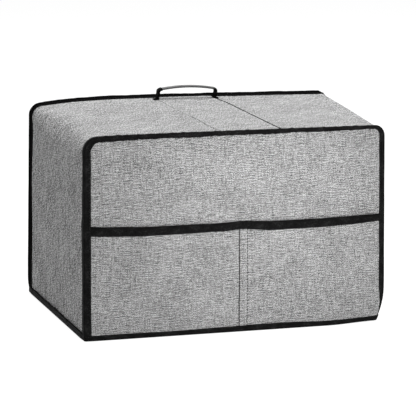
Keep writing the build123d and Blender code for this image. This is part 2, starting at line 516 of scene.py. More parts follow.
# Melange linen-look cloth: pale and dark slubs in both directions over a plain weave
def linenCloth(name, slubs):
    cloth = Surface(name)
    mixed = cloth.maths("MULTIPLY", cloth.noise(linen["blotch"], 2.0, 0.5, 11.0), linen["blotchShare"])
    for number, (across, up, share, alternate) in enumerate(slubs["kinds"]):
        shift = 3.7 * number
        streaks = cloth.noise((across, up), 1.5, 0.5, shift)
        if alternate:
            beside = cloth.noise((across, up), 1.5, 0.5, shift, linen["alternate"])
            streaks = cloth.maths("MULTIPLY_ADD", cloth.maths("SUBTRACT", streaks, beside), 0.7, 0.5)
        mixed = cloth.maths("MULTIPLY_ADD", streaks, share, mixed)
    spread = cloth.range(mixed, *slubs["contrast"])
    if slubs["hanging"]:
        length = cloth.add("ShaderNodeSeparateXYZ", {"Vector": cloth.place}).outputs[1]
        fromMiddle = cloth.maths("ABSOLUTE", cloth.maths("SUBTRACT", length, linen["archMiddle"]))
        gain = cloth.range(fromMiddle, *linen["shoulder"], (1.0, 1.0 + slubs["hanging"]))
        spread = cloth.maths("MULTIPLY_ADD", cloth.maths("SUBTRACT", spread, 0.5), gain, 0.48)
    cloth.colour(cloth.ramp(spread, slubs["tones"]))
    plain = cloth.maths("MULTIPLY", cloth.weave(linen["thread"]), 0.4)
    cloth.bump(cloth.maths("MULTIPLY_ADD", spread, 0.6, plain), *linen["relief"])
    cloth.feel(0.92, 0.12, 0.08, 0.5)
    return cloth.material


# Ribbed woven tape or strap, with a little lint and wear in its tone
def wovenTape(name, tones, rib, sheen, specular=0.1, turn=math.pi / 4):
    tape = Surface(name)
    ribs = tape.weave(rib, turn)
    lint = tape.noise((2.2 * mm, 1.8 * mm), 3.0, 0.6)
    wear = tape.noise((14 * mm, 9 * mm), 2.0, 0.5, 5.0)
    tone = tape.maths("MULTIPLY_ADD", lint, 0.6, tape.maths("MULTIPLY", wear, 0.4))
    tape.colour(tape.ramp(tape.range(tone, 0.33, 0.67), tones))
    tape.bump(tape.maths("MULTIPLY_ADD", ribs, 0.7, tape.maths("MULTIPLY", lint, 0.3)), 0.25 * mm, 0.6)
    tape.feel(0.8, specular, sheen, 0.28)
    return tape.material


# Thin, slightly glossy lining cloth with a fine even weave
def plainLining(name):
    lining = Surface(name)
    tone = lining.noise((2.2 * mm, 0.7 * mm), 2.0, 0.5)
    lining.colour(lining.ramp(lining.range(tone, 0.35, 0.65), ((0.2, 0.16), (0.8, 0.23))))
    lining.bump(lining.weave(0.45 * mm), 0.15 * mm, 0.5)
    lining.feel(0.6, 0.35, 0.1, 0.4)
    return lining.material


# Soft matted fibres
def feltedWadding(name):
    wadding = Surface(name)
    fibres = wadding.noise((1.5 * mm, 6 * mm), 4.0, 0.65)
    wadding.colour(wadding.ramp(wadding.range(fibres, 0.3, 0.7), ((0.1, 0.62), (0.9, 0.82))))
    wadding.bump(fibres, 0.6 * mm, 0.6)
    wadding.feel(0.95, 0.1, 0.3, 0.6)
    return wadding.material


bandLinen = linenCloth("bandLinen", bandSlubs)
# the same linen on the panels, with tones made darker as painted shade
panelLinenPaintedShade = linenCloth("panelLinenPaintedShade", panelSlubs)
tapeTones = {  # dark, middle and light places of the pattern, each with its tone
    "black": ((0.1, 0.001), (0.55, 0.005), (0.95, 0.022)),
    # the rear edge tape's and the strip piping's tones are the black tape's made darker still: painted shade
    "rear": ((0.1, 0.0003), (0.6, 0.0008), (0.95, 0.003)),
    "strap": ((0.1, 0.001), (0.6, 0.0025), (0.95, 0.008)),
    "grip": ((0.1, 0.10), (0.6, 0.17), (0.95, 0.27)),
}
blackTape = wovenTape("blackTape", tapeTones["black"], 0.6 * mm, 0.02, 0.06)
# a darker copy of the black tape with no sheen, painting shade on the rear edge tape and the strip's piping
paintedShadeTape = wovenTape("paintedShadeTape", tapeTones["rear"], 0.6 * mm, 0.0, 0.02)
strapBlack = wovenTape("strapBlack", tapeTones["strap"], 0.8 * mm, 0.02, 0.06, turn=0.0)
gripGrey = wovenTape("gripGrey", tapeTones["grip"], 0.8 * mm, 0.2, turn=0.0)
liningCloth = plainLining("liningCloth")
wadding = feltedWadding("wadding")
print("materials made")


# Padded walls: outer cloth, wadding and lining, each a closed layer

layerDepths = {  # from its outer to its inner face
    "cover": (0.0, clothDepth),
    "padding": (clothDepth, liningDepth),
    "lining": (liningDepth, wallDepth),
}
layerLooks = {"cover": None, "padding": (wadding, "wadding"), "lining": (liningCloth, "lining_cloth")}
layerGrids = {"cover": 1.0, "padding": 0.35, "lining": 0.35}  # share of the grid's steps that a layer needs
wallGrid = {"panelColumns": 180, "panelRows": 60, "side": 60, "corner": 8, "top": 96, "depthRows": 72}


# Hides the CAD wall that a layer stands for, and hangs the layer on the cover's body
def holdLayer(piece, layer, wall):
    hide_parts(wall + "_" + layer)
    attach(piece, "cover")


def panelLayer(end, depth, layer):
    share = layerGrids[layer]
    columns, rows = (int(wallGrid[key] * share) for key in ("panelColumns", "panelRows"))
    x, z = panelGrid(columns, rows, depth)
    near, far = layerDepths[layer]
    material, slotName = layerLooks[layer] or (panelLinenPaintedShade, "linen_cloth")
    outer, inner = (onPanel(x, z, depth, -d) for d in (near, far))
    piece = slab(end + layer.capitalize(), outer, inner, np.stack([x, z], -1), material)
    holdLayer(piece, layer, end + "_panel")


def bandLayer(layer):
    share = layerGrids[layer]
    side, top, rows = (int(wallGrid[key] * share) for key in ("side", "top", "depthRows"))
    along = stretches(side, wallGrid["corner"], top)[:, None]
    depth = np.linspace(frontY + wallDepth, rearY - wallDepth, rows + 1)[None, :]
    near, far = layerDepths[layer]
    material, slotName = layerLooks[layer] or (bandLinen, "linen_cloth")
    outer, length = onBand(along, depth, -near)
    inner, _ = onBand(along, depth, -far)
    uv = np.stack([np.broadcast_to(depth, length.shape), length], -1)
    piece = slab("band" + layer.capitalize(), outer, inner, uv, material)
    holdLayer(piece, layer, "wrap_band")


for layer in layerDepths:
    panelLayer("front", frontY, layer)
    panelLayer("rear", rearY, layer)
    bandLayer(layer)
print("walls made")


# Tape folded over the front and rear edges, with the seam's ridge on the corner

edgeTape = {  # widths, heights and thicknesses in mm
    "alongStops": (0, 0.9, 1.5, 2, 2.1, 2.5, 3, 3.5, 4, 4.81, 4.9, 4.95),
    "widths": {"front": (9.8, 9.6, 9.0, 6.6, 5.8, 5.2, 3.8, 5.2, 5.8, 5.8, 3.4, 0.5),
               "rear": (8, 8, 8, 7, 7, 7, 7, 7, 8, 8, 8, 8)},
    "cornerFade": {"front": 0.75, "rear": 0.0},  # the front tape slips round the side at the right foot
    "pressed": {"front": 0.0, "rear": 0.8},  # the rear tape lies flat round the top right corner
    "bandWidth": {"front": 12.0, "rear": 12.5},
    "ridge": {"front": 2.5, "rear": 2.9},
    "topRidge": {"front": -0.5, "rear": -0.1},
    "ragged": {"front": 1.2, "rear": 0.2},  # unevenness of the tape along the top
    "raggedWave": 0.017,
    "wanderWave": 0.11,
    "thickness": 1.15,
    "overPocket": 0.9,  # it stands further out where it runs over the pockets' sides
    "endRidge": 1.0,  # where the hem tape passes over it
    "endLength": 16 * mm,
    "steps": (44, 9, 130),  # along a side, a corner and the top
}


# Along the tape, in mm: width on the panel, height of the corner's ridge, thickness, and width on the band
def edgeSizes(end, along, length, height, seed):
    onTopRun = smooth((along - 1.6) / 0.6) * smooth((3.4 - along) / 0.6)
    ragged = ripple(length, seed + 3, edgeTape["raggedWave"]) * onTopRun * edgeTape["ragged"][end]
    width = np.interp(along, edgeTape["alongStops"], edgeTape["widths"][end])
    width = width + (0.35 + 0.45 * onTopRun) * ripple(length, seed, edgeTape["wanderWave"]) + 0.45 * ragged
    inside = smooth(np.minimum(length, length[-1] - length) / edgeTape["endLength"])
    ridge = edgeTape["endRidge"] + (edgeTape["ridge"][end] - edgeTape["endRidge"]) * inside
    ridge = ridge + (0.12 + 0.28 * onTopRun) * ripple(length, seed + 2, 0.09) * inside
    ridge = ridge + edgeTape["topRidge"][end] * onTopRun - 0.8 * ragged
    ridge = ridge * (1 - edgeTape["cornerFade"][end] * smooth((along - 4.8) / 0.14))
    pressed = edgeTape["pressed"][end] * smooth((along - 2.996) / 0.006) * smooth((3.9 - along) / 0.3)
    ridge = ridge * (1 - pressed)
    overPocket = smooth((mouthHigh.z + 20 * mm - height) / (15 * mm)) if end == "front" else 0.0
    thick = edgeTape["thickness"] + edgeTape["overPocket"] * overPocket
    band = edgeTape["bandWidth"][end] + 0.5 * ripple(length, seed + 1, 0.13)
    return width, ridge, thick, band


# Rings of the tape's section: out is away from the panel, over is away from the band
def edgeRings(end, depth, seed):
    facing = -1 if depth < 0 else 1
    along = stretches(*edgeTape["steps"])
    neat, normal, length = bandPoint(along, depth)
    width, ridge, thick, band = edgeSizes(end, along, length, neat[:, 2], seed)
    flat = np.minimum(thick, ridge)
    over = [-width, -width, -width * 0.9, -width * 0.5, -np.minimum(2.4, 0.45 * width)]
    out = [np.full_like(width, -0.2), 0.5 * flat, flat, flat, flat * 1.05]
    for turn in np.radians([108, 84, 60, 36, 12, -14]):
        over.append(0.1 + ridge * math.cos(turn))
        out.append(0.1 + ridge * math.sin(turn))
    over += [flat * 1.05, flat, flat, 0.5 * flat, np.full_like(width, -0.2), np.full_like(width, -0.4)]
    out += [np.full_like(width, -2.4), -band * 0.5, -band * 0.95, -band, -band, np.full_like(width, -0.4)]
    over, out = np.stack(over, 1) * mm, np.stack(out, 1) * mm
    place = np.empty(over.shape + (3,))
    place[..., 0] = neat[:, None, 0] + normal[:, None, 0] * over
    place[..., 1] = depth + facing * out
    place[..., 2] = neat[:, None, 2] + normal[:, None, 1] * over
    cloth = frontCloth if depth < 0 else rearCloth
    onFace = cloth.at((place[..., 0] + halfWidth) / (2 * halfWidth), place[..., 2])
    onSide = bandCloth.at(along[:, None], place[..., 1])
    moves = np.where((out > over)[..., None], onFace, onSide)
    return relax(place) + moves, length, runLength(place[60])


def makeEdgeTape(end, depth, seed):
    rings, length, across = edgeRings(end, depth, seed)
    # the rear tape is coloured with the darker copy, painted shade
    look = blackTape if end == "front" else paintedShadeTape
    piece = sweep(end + "EdgeTape", rings, length, across, look, "binding_tape")
    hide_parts(end + "_edge_binding")
    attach(piece, "cover")
    return rings


frontTapeRings = makeEdgeTape("front", frontY, 0.4)
rearTapeRings = makeEdgeTape("rear", rearY, 1.9)
print("edge tapes made")


# Tape round the hem

hem = {  # heights and thicknesses in mm
    "panelHeight": ((-0.235, -0.1, -0.02, 0.02, 0.08, 0.13, 0.235), (8.2, 7.6, 8.2, 9.6, 9.5, 8.0, 8.4)),
    "sideHeight": 9.8,
    "thickness": 2.0,
    "cornerExtra": 1.0,
    "cornerRadius": 3 * mm,
    "step": 6 * mm,
    "top": 9 * mm,  # where the stitches above it begin
}


# Neat outline of the walls' foot, its outward directions and its running length
def hemPath():
    r = hem["cornerRadius"]
    points, normals = [], []
    corners = [(halfWidth - r, frontY + r, -90), (halfWidth - r, rearY - r, 0),
               (-halfWidth + r, rearY - r, 90), (-halfWidth + r, frontY + r, 180)]
    for number, (cx, cy, start) in enumerate(corners):
        for step in range(7):
            turn = math.radians(start + 90 * step / 6)
            normals.append((math.cos(turn), math.sin(turn)))
            points.append((cx + r * normals[-1][0], cy + r * normals[-1][1]))
        nextX, nextY, nextStart = corners[(number + 1) % 4]
        turn = math.radians(nextStart)
        ahead = (nextX + r * math.cos(turn), nextY + r * math.sin(turn))
        steps = int(math.dist(points[-1], ahead) / hem["step"])
        here = points[-1]
        for step in range(1, steps):
            points.append(tuple(a + (b - a) * step / steps for a, b in zip(here, ahead)))
            normals.append(normals[-1])
    points, normals = np.array(points), np.array(normals)
    return points, normals, runLength(points)


# Sews the hem tape on, and returns the line of its outer stitches
def makeHem():
    points, normals, length = hemPath()
    side = normals[:, 0] ** 2
    panelHeight = np.interp(points[:, 0], *hem["panelHeight"])
    height = panelHeight + (hem["sideHeight"] - panelHeight) * side + 0.3 * ripple(length, 0.8, 0.12)
    thick = hem["thickness"] + hem["cornerExtra"] * 2 * np.abs(normals[:, 0] * normals[:, 1])
    inner, zero = wallDepth / mm, np.zeros_like(height)
    out = [zero - 0.2, 0.55 * thick, 0.9 * thick, thick, thick, 0.75 * thick, 0.3 * thick,
           zero - inner, zero - inner - 0.7, zero - inner - 1.2, zero - inner - 1.2, zero - inner - 0.4,
           zero - inner + 0.2, zero - inner + 0.2, zero - 0.2]
    up = [height, height, height - 0.4, 0.6 * height, zero + 1.6, zero + 0.5, zero,
          zero, zero + 0.3, zero + 1.4, height - 0.6, height, height - 0.1, zero + 1.8, zero + 1.8]
    out, up = np.stack(out, 1) * mm, np.stack(up, 1) * mm
    place = np.empty(out.shape + (3,))
    place[..., 0] = points[:, None, 0] + normals[:, None, 0] * out
    place[..., 1] = points[:, None, 1] + normals[:, None, 1] * out
    place[..., 2] = up
    rings = relax(place)
    rings[..., 2] = np.maximum(rings[..., 2], 0)  # it stands on the floor
    piece = sweep("hemTape", rings, length, runLength(place[20]), blackTape, "binding_tape", loop=True)
    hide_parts(*("hem_binding_" + wall for wall in ("front", "rear", "left", "right")))
    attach(piece, "cover")
    stitchX, stitchY = (points[:, i] + normals[:, i] * 0.95 * thick * mm for i in (0, 1))
    return relax(np.stack([stitchX, stitchY, (height - 1.4) * mm], -1))


hemStitches = makeHem()
print("hem made")


# Pockets: each is made in two halves that meet at the pocket's middle

pocket = {
    "foot": 6.4 * mm,
    "rise": 1.0 * mm,  # gap between the pocket's cloth and the panel
    "sideHold": (4 * mm, 14 * mm),  # how far from its sewn sides and foot that gap begins, and opens fully
    "seamHold": 7 * mm,
    "footHold": 18 * mm,
    "slackMouth": 1.8 * mm,  # how much further the mouth stands off, and over what height
    "slackHeight": 90 * mm,
    "droop": 2.2 * mm,  # how far the mouth hangs down, and over what height
    "droopHeight": 50 * mm,
    "tapeTuck": 3 * mm,  # how far its sides run under the edge tape
    "cloth": 0.8 * mm,
    "tapeWidth": 14.6 * mm,
    "tapeLift": (  # x, and how far the tape's top edge lies over the mouth there, in mm
        (-0.235, -0.15, -0.06, -0.01, 0.04, 0.16, 0.235),
        (5.4, 3.6, 3.2, 1.6, 1.7, 3.1, 2.2),
    ),
    "tapeDrop": (  # x, and how much lower than usual the tape's lower edge lies there, in mm
        (-0.235, -0.15, -0.06, -0.02, 0.01, 0.05, 0.10, 0.235),
        (-2.6, -1.2, -1.8, -0.8, -1.2, 0.6, -0.6, -2.5),
    ),
    "tapeReach": 12.2 * mm,  # from the mouth down to the tape's lower edge
    "stitchReach": 10.7 * mm,
    "tapeThickness": 2.3 * mm,
    "tapeSide": 8 * mm,
}
mouthZ = mouthHigh.z
seamLeft, seamRight = seamLow.x, seamHigh.x
pocketSpans = {
    "left": (-halfWidth + pocket["tapeTuck"], seamLeft),
    "right": (seamRight, halfWidth - pocket["tapeTuck"]),
}


def settlePocket(side):
    low, high = pocketSpans[side]
    x = np.linspace(low, high, 20)
    z = np.linspace(pocket["foot"], mouthZ, 15)
    grid = np.stack(np.broadcast_arrays(x[:, None], frontY, z[None, :]), -1)
    pinned = border(20, 15)
    pinned[1:-1, -1] = False
    moves = simulate(side + "PocketCloth", relax(grid), pinned, 0.0012, 2.0 * mm)
    moves[..., 1] = np.minimum(moves[..., 1], 0)
    return WallCloth(x, z, moves)


# A point on a pocket's cloth, out from its back face
def pocketPoint(side, x, z, out):
    low, high = pocketSpans[side]
    seam = seamLeft if side == "left" else seamRight
    outerEdge = low if side == "left" else high
    x, z, out = matched(x, z, out)
    share = np.clip((x - low) / (high - low), 0, 1)
    bell = np.sin(math.pi * share) ** 0.8
    held, opened = pocket["sideHold"]
    fromSide = smooth((np.abs(x - outerEdge) - held) / opened)
    fromSeam = smooth(np.abs(x - seam) / pocket["seamHold"])
    fromFoot = smooth((z - pocket["foot"]) / pocket["footHold"])
    slack = smooth((z - mouthZ + pocket["slackHeight"]) / pocket["slackHeight"])
    gap = pocket["rise"] * fromSide * fromSeam * fromFoot
    gap = gap + pocket["slackMouth"] * bell * fromSide * slack
    lower = pocket["droop"] * bell * smooth((z - mouthZ + pocket["droopHeight"]) / pocket["droopHeight"])
    return onPanel(x, z - lower, frontY, 0.1 * mm + gap + out) + pocketCloths[side].at(x, z)


# Name and span of each half of a pocket, and its sewn end and its end at the pocket's middle
def halves(side):
    low, high = pocketSpans[side]
    middle = (low + high) / 2
    return (("A", low, middle, low, middle), ("B", middle, high, high, middle))


# Bakes a pocket piece's placement into its mesh
def bendPocket(piece):
    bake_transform(piece)


def makePocket(side):
    for name, low, high, fixedX, movingX in halves(side):
        x = np.linspace(low, high, 30)[:, None]
        z = np.linspace(pocket["foot"], mouthZ - 0.8 * mm, 46)[None, :]
        outer, inner = (pocketPoint(side, x, z, d) for d in (pocket["cloth"], 0.0))
        uv = np.stack(matched(x, z), -1) + (0.37, 0.21)
        piece = slab("pocket" + side.capitalize() + name, outer, inner, uv, panelLinenPaintedShade)
        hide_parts("pocket_panel_" + side)
        bendPocket(piece)
        rings = mouthRings(side, np.linspace(low, high, 44))
        tape = sweep("mouthTape" + side.capitalize() + name, *rings, blackTape, "binding_tape")
        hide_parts("pocket_mouth_binding_" + side)
        bendPocket(tape)


# Out and up of a folded tape's rounded section, its fold at the top
def tapeSection(width, thickness):
    half = thickness / 2
    return [(0, -width), (0.9 * half, -width), (1.9 * half, -width + 0.4 * mm), (2 * half, -0.5 * width),
            (1.95 * half, -0.9 * mm), (1.6 * half, -0.2 * mm), (1.0 * half, 0), (0.4 * half, -0.2 * mm),
            (0, -0.9 * mm), (0, -0.5 * width)]


# Heights of the mouth tape's section: its top edge is lifted here and there, and its lower edge drops
def tapeHeights(x, section):
    lift = np.interp(x, *pocket["tapeLift"]) * mm + 0.35 * mm * ripple(x, 1.3, 0.09)
    drop = np.interp(x, *pocket["tapeDrop"]) * mm + 0.3 * mm * ripple(x, 2.2, 0.07)
    top = mouthZ + lift
    bottom = mouthZ - pocket["tapeReach"] - drop
    share = -section[None, :, 1] / pocket["tapeWidth"]
    return top[:, None] + (bottom - top)[:, None] * share


# Rings of the mouth tape, with their lengths along it and round it
def mouthRings(side, x):
    section = np.array(tapeSection(pocket["tapeWidth"], pocket["tapeThickness"]))
    out = section[:, 0] - 0.6 * mm
    up = tapeHeights(x, section)
    rings = pocketPoint(side, np.broadcast_to(x[:, None], up.shape), up, out[None, :])
    return rings, x - x[0], runLength(rings[5])


pocketCloths = {side: settlePocket(side) for side in pocketSpans}
for side in pocketSpans:
    makePocket(side)

centre = {
    "cloth": 0.8 * mm,
    "crown": 1.3 * mm,  # how far the padded seam swells out
    "crownEnd": 14 * mm,
    "tapeThickness": 1.7 * mm,
    "tapeOver": 0.4 * mm,
    "tapePinch": 0.25,  # the tape is thinner over the two seams
}


# The strip where the pocket cloth is sewn down
def makeCentreSeam():
    x = np.linspace(seamLeft, seamRight, 13)[:, None]
    z = np.linspace(pocket["foot"], mouthZ - 4 * mm, 50)[None, :]
    swell = np.sin(math.pi * (x - seamLeft) / (seamRight - seamLeft))
    crown = centre["crown"] * swell * smooth((mouthZ - centre["crownEnd"] - z) / centre["crownEnd"])
    outer, inner = onPanel(x, z, frontY, centre["cloth"] + crown), onPanel(x, z, frontY, 0 * (x + z))
    uv = np.stack(matched(x, z), -1) + (0.11, 0.43)
    piece = slab("centreSeam", outer, inner, uv, panelLinenPaintedShade)
    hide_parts("pocket_centre_seam")
    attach(piece, "cover")


# The mouth tape pressed flat over the centre seam
def makeCentreTape():
    x = np.linspace(seamLeft - centre["tapeOver"], seamRight + centre["tapeOver"], 12)
    pressed = 1 - centre["tapePinch"] * np.cos(2 * math.pi * (x - seamLeft) / (seamRight - seamLeft))
    section = np.array(tapeSection(pocket["tapeWidth"], centre["tapeThickness"]))
    out = section[None, :, 0] * pressed[:, None]
    up = tapeHeights(x, section)
    rings = onPanel(np.broadcast_to(x[:, None], out.shape), up, frontY, out)
    tape = sweep("mouthTapeCentre", rings, x - x[0], runLength(rings[5]), blackTape, "binding_tape")
    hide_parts("pocket_mouth_binding_centre")
    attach(tape, "cover")


makeCentreSeam()
makeCentreTape()
print("pockets made")


# The strip on the top, sewn slightly askew

stripLow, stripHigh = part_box("handle_base_strip")
footLeftLow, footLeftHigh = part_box("handle_foot_left")
footRightLow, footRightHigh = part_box("handle_foot_right")
handleY = (footLeftLow.y + footLeftHigh.y) / 2
legLeft = (footLeftLow.x + footLeftHigh.x) / 2
legRight = (footRightLow.x + footRightHigh.x) / 2
stripWidth = legRight - legLeft
stripSkew = (stripHigh.x - stripLow.x - stripWidth) / (stripHigh.y - stripLow.y)
strip = {
    "cloth": 0.9 * mm,
    "edgeWander": 1.4 * mm,
    "footShift": {"left": 0.0, "right": -4.5 * mm},  # the handle draws the strip's right edge in
    "drawnIn": 30 * mm,
    "hem": 0.008,  # share of the width over which its edges are pressed thin
    "piping": 0.85 * mm,
    # pale stitches behind this point paint the strip edge's highlight, and dark grey ones in front of it
    # paint its shade
    "paintedLightChange": -20 * mm,  # the left edge is sewn with darker thread in front of here, and paler behind
}


# Where the strip's left or right edge lies
def stripEdge(side, y):
    leg = legLeft if side == "left" else legRight
    wander = strip["edgeWander"] * ripple(y, 2.6, 0.16)
    if side == "right":
        wander = strip["footShift"]["right"] * np.exp(-((np.minimum(0, y - handleY) / strip["drawnIn"]) ** 2))
    return leg - stripSkew * (y - handleY) + wander


def makeStrip():
    y = np.linspace(stripLow.y - 2 * mm, stripHigh.y + 2 * mm, 70)[None, :]
    thin = strip["hem"]
    share = np.concatenate([[0, thin], np.linspace(0.03, 0.97, 22), [1 - thin, 1]])[:, None]
    x = stripEdge("left", y) + (stripEdge("right", y) - stripEdge("left", y)) * share
    edge = np.clip(np.minimum(share, 1 - share) / thin, 0.35, 1)
    outer, inner = onTop(x, y, strip["cloth"] * edge + 0 * y), onTop(x, y, 0.02 * mm)
    uv = np.stack([np.broadcast_to(y, x.shape), x], -1) + (0.05, 0.55)
    piece = slab("baseStrip", outer, inner, uv, bandLinen)
    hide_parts("handle_base_strip")
    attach(piece, "cover")


# A thin black cord along the strip's right edge, standing partly for a real dark edge and partly for the
# shadow gap under it, coloured with the darker tape copy as painted shade
def makePiping():
    y = np.linspace(stripLow.y, handleY - 4 * mm, 60)
    radius = strip["piping"]
    turns = np.linspace(0, 2 * math.pi, 9)[:-1]
    edge = stripEdge("right", y)
    rings = [onTop(edge + radius * (1 + math.cos(turn)), y, 0.6 * mm + radius * math.sin(turn))
             for turn in turns]
    around = np.arange(len(turns)) * 0.4 * mm
    piece = sweep("stripPipingPaintedShade", np.stack(rings, 1), y - y[0], around, paintedShadeTape, "binding_tape")
    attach(piece, "cover")


makeStrip()
makePiping()
print("top strip made")


# The strap handle: legs that rise from their feet and bend over into the grip, which rides on the handle

handle = {
    "strapWidth": 12 * mm,
    "thickness": 3.6 * mm,
    "gripThickness": 3.0 * mm,
    "gripWidth": 8.5 * mm,
    "lean": {"left": 2.0 * mm, "right": 2.3 * mm},
    "height": 15.5 * mm,
    "arch": 4.0 * mm,
    "returnLength": 2.4 * mm,
    "bend": 3.2 * mm,
    "footLength": 6 * mm,
    "footWidth": 11.4 * mm,
    "footThickness": 1.5 * mm,
}


# Rings of a flat strap along a path of x and height over the handle's axis; its width lies front to back
def strap(path, width, thickness, moves):
    path = np.array(path)
    ahead = np.gradient(path, axis=0)
    ahead /= np.linalg.norm(ahead, axis=1, keepdims=True)
    side = np.stack([-ahead[:, 1], ahead[:, 0]], -1)
    half, edge = thickness / 2, width / 2
    near = edge - 0.4 * mm  # its long edges are rounded off from here
    section = [(-half, -near), (-0.5 * half, -edge), (0.5 * half, -edge), (half, -near), (1.1 * half, 0),
               (half, near), (0.5 * half, edge), (-0.5 * half, edge), (-half, near), (-1.1 * half, 0)]
    rings = np.empty((len(path), len(section), 3))
    for number, (off, along) in enumerate(section):
        rings[:, number, 0] = path[:, 0] + side[:, 0] * off
        rings[:, number, 1] = handleY + along
        rings[:, number, 2] = path[:, 1] + side[:, 1] * off
    return rings + moves, runLength(path), runLength(rings[0])


def bezier(points, steps):
    a, b, c, d = np.array(points, float)
    t = np.linspace(0, 1, steps)[:, None]
    return (1 - t) ** 3 * a + 3 * (1 - t) ** 2 * t * b + 3 * (1 - t) * t * t * c + t**3 * d


# Where a leg is sewn down, which way is inward from it, and how far the top has settled under it
def legPlace(side):
    x = (legLeft if side == "left" else legRight) + strip["footShift"][side]
    return x, 1 if side == "left" else -1, onTop(x, handleY, 0.0) - np.array([x, handleY, topZ])


# A leg that bends over inwards, and the point where it passes into the grip
def makeLeg(side):
    legX, inward, shift = legPlace(side)
    bend = handle["bend"]
    base = topZ + strip["cloth"] + 0.7 * mm
    top = topZ + handle["height"]
    headX = legX + handle["lean"][side]
    rise = bezier([(legX, base), (legX, base + 5 * mm), (headX, top - 9 * mm), (headX, top - bend)], 12)
    turn = bezier([(headX, top - bend), (headX, top - 0.4 * bend), (headX + inward * 0.5 * bend, top),
                   (headX + inward * bend, top + 0.4 * mm)], 7)[1:]
    path = [*rise, *turn]
    if side == "left":  # its end runs on a little under the grip
        path += [(headX + inward * (bend + handle["returnLength"] * f), top + (0.4 + 0.9 * f) * mm)
                 for f in (0.5, 1.0)]
    rings = strap(path, handle["strapWidth"], handle["thickness"], shift)
    piece = sweep(side + "Leg", *rings, strapBlack, "strap_tape")
    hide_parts("handle_loop_" + side)
    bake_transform(piece)
    return np.array([headX + inward * bend * 0.75, top + 0.5 * mm]), shift


# The end of the strap that is sewn flat on the strip, outwards from the leg
def makeFoot(side):
    legX, inward, shift = legPlace(side)
    lie = np.linspace(-0.25, 1, 9) * handle["footLength"]
    height = topZ + strip["cloth"] * 0.9 + 0.5 * mm - 0.5 * mm * smooth(lie / handle["footLength"])
    path = np.stack([legX - inward * lie, height], -1)
    rings = strap(path, handle["footWidth"], handle["footThickness"], shift)
    piece = sweep(side + "Foot", *rings, strapBlack, "strap_tape")
    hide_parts("handle_foot_" + side)
    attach(piece, "cover")


# The arched grip between the ends of the two legs
def makeGrip(left, right):
    (leftEnd, leftShift), (rightEnd, rightShift) = left, right
    share = np.linspace(0, 1, 40)[:, None]
    path = leftEnd + (rightEnd - leftEnd) * share
    path[:, 1:] += handle["arch"] * (1 - (2 * share - 1) ** 2)
    rings, length, across = strap(path, handle["gripWidth"], handle["gripThickness"], 0.0)
    rings += (leftShift * (1 - share) + rightShift * share)[:, None, :]
    piece = sweep("grip", rings, length, across, gripGrey, "grip_strap")
    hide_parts("handle_grip")
    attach(piece, "handle")


legEnds = []
for side in ("left", "right"):
    legEnds.append(makeLeg(side))
    makeFoot(side)
makeGrip(*legEnds)
print("handle made")


# Stitches: short threads set along polylines by geometry nodes

thread = {"radius": 0.3 * mm, "wander": 0.06, "seed": 4}
stitchKinds = {  # pitch and length of a stitch, and how thick its thread is beside the usual
    "edge": (4.2 * mm, 3.1 * mm, 1.0),
    # a thick black thread that stands for the seam fold's shadow: painted shadow
    "fold": (3.4 * mm, 4.2 * mm, 3.3),
    "seam": (4.6 * mm, 3.2 * mm, 2.3),
    # a thick pale thread that paints a highlight on the seam strip
    "paintedHighlight": (5.2 * mm, 4.4 * mm, 2.0),
    "strip": (4.5 * mm, 4.0 * mm, 1.5),
}


# Sewing thread with a little lint in its tone
def threadLook(name, tone):
    look = Surface(name, onCloth=False)
    lint = look.add("ShaderNodeTexNoise", {"Vector": look.place, "Scale": 900, "Detail": 2}).outputs[0]
    look.colour(look.ramp(lint, ((0.35, 0.5 * tone), (0.65, 1.6 * tone))))
    look.feel(0.6, 0.2)
    return look.material


blackThread = threadLook("blackThread", 0.012)
# the dark grey thread paints shade along the strip's left edge; the pale thread paints highlights there and
# on the centre seam
paintedShadeThread = threadLook("paintedShadeThread", 0.03)
paintedHighlightThread = threadLook("paintedHighlightThread", 0.45)


